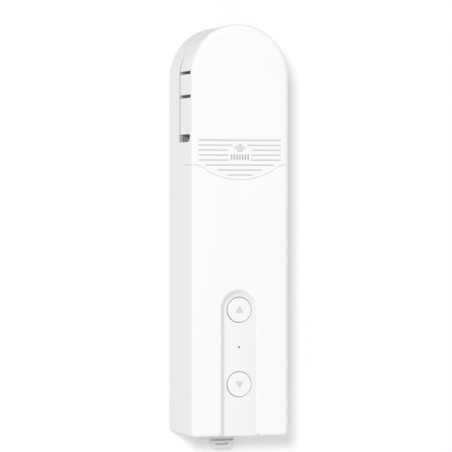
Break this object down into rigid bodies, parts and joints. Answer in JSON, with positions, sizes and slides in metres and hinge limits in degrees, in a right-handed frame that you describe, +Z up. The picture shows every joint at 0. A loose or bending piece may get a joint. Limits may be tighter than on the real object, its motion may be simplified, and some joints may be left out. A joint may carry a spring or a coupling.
{
  "type": "roller shade motor",
  "caption": "Slim arch-topped wall unit that turns a roller shade's bead chain, with a slide-off cover, round press keys, a geared chain wheel, and a wall bracket with a release tab",
  "frame": {"origin": "midway between the wall bracket's two screw holes, on the wall plane", "axes": "+Z up along the case, -Y out of the wall towards the person, +X to that person's right"},
  "size_m": [0.048, 0.0401, 0.1982],
  "materials": {
    "case_white": "fine satin moulded white",
    "key_white": "fine satin moulded white",
    "bracket_white": "matte white",
    "clear_lever": "slightly green translucent plastic",
    "grey_rubber": "silicone",
    "board_green": "solder mask",
    "part_black": "moulded epoxy",
    "shield_tin": "tinned sheet",
    "steel": "plain steel",
    "magnet": "sintered ferrite",
    "brass": "turned brass",
    "bronze": "sintered bronze",
    "gear_ivory": "moulded acetal",
    "frame_grey": "glass filled nylon",
    "wheel_grey": "moulded acetal",
    "cell_wrap": "filled cell in shrink wrap, as dense as a real one",
    "contact_nickel": "nickel plated strip",
    "foam_tape": "foam tape",
    "lamp": "diffused lamp body",
    "light_clear": "clear moulded plastic"
  },
  "bodies": {
    "bracket": {"wall_bracket": "bracket_white", "adhesive_pads": "foam_tape"},
    "cover": {"top_cover": "case_white"},
    "up_key": {"up_button": "key_white"},
    "down_key": {"down_button": "key_white"},
    "wheel": {"chain_wheel": "wheel_grey", "output_shaft": "steel", "output_gear": "gear_ivory", "wheel_clip": "steel"},
    "second_gear_set": {"second_gear": "gear_ivory"},
    "first_gear_set": {"first_gear": "gear_ivory"},
    "rotor": {"motor_armature": "steel", "motor_shaft": "steel", "motor_pinion": "brass"},
    "lever": {"release_lever": "clear_lever"},
    "housing": {"rear_housing": "case_white", "front_panel": "case_white", "button_pad": "grey_rubber", "main_board": "board_green", "tact_switches": "part_black", "radio_module": "shield_tin", "drive_chip": "part_black", "usb_port": "shield_tin", "status_led": "lamp", "light_pipe": "light_clear", "battery_cells": "cell_wrap", "battery_holder": "frame_grey", "battery_contacts": "contact_nickel", "motor_can": "steel", "motor_magnets": "magnet", "motor_end_cap": "part_black", "motor_plate": "steel", "motor_screws": "steel", "gearbox_front_plate": "frame_grey", "gearbox_rear_plate": "frame_grey", "gearbox_screws": "steel", "gear_pins": "steel", "shaft_bushes": "bronze", "chain_guide": "frame_grey", "case_screws": "steel", "lever_pin": "steel", "lever_spring": "steel"}
  },
  "joints": [
    {"name": "tension_slide", "type": "slide", "parent": "bracket", "child": "housing", "axis": [0, 0, 1], "range_m": [-0.008, 0.006]},
    {"name": "cover_slide", "type": "slide", "parent": "housing", "child": "cover", "axis": [0, 0, 1], "range_m": [0, 0.075]},
    {"name": "up_press", "type": "slide", "parent": "housing", "child": "up_key", "axis": [0, 1, 0], "range_m": [0, 0.0008], "stiffness_N_per_m": 1500, "springref_m": -0.0003},
    {"name": "down_press", "type": "slide", "parent": "housing", "child": "down_key", "axis": [0, 1, 0], "range_m": [0, 0.0008], "stiffness_N_per_m": 1500, "springref_m": -0.0003},
    {"name": "wheel_spin", "type": "hinge", "parent": "housing", "child": "wheel", "pos_m": [0, -0.0201, 0.046], "axis": [0, 1, 0], "continuous": true},
    {"name": "second_gear_spin", "type": "hinge", "parent": "housing", "child": "second_gear_set", "pos_m": [0, -0.0201, 0.026], "axis": [0, 1, 0], "continuous": true},
    {"name": "first_gear_spin", "type": "hinge", "parent": "housing", "child": "first_gear_set", "pos_m": [0, -0.0201, 0.0062], "axis": [0, 1, 0], "continuous": true},
    {"name": "motor_spin", "type": "hinge", "parent": "housing", "child": "rotor", "pos_m": [0, -0.0201, -0.013], "axis": [0, 1, 0], "continuous": true},
    {"name": "lever_swing", "type": "hinge", "parent": "housing", "child": "lever", "pos_m": [0, -0.0095, -0.07], "axis": [-1, 0, 0], "range_deg": [0, 1.75], "stiffness_Nm_per_rad": 2, "springref_deg": -0.57}
  ],
  "couplings": [
    {"joint": "second_gear_spin", "follows": "wheel_spin", "ratio": -2.3333},
    {"joint": "first_gear_spin", "follows": "wheel_spin", "ratio": 6.2222},
    {"joint": "motor_spin", "follows": "wheel_spin", "ratio": -18.667}
  ]
}
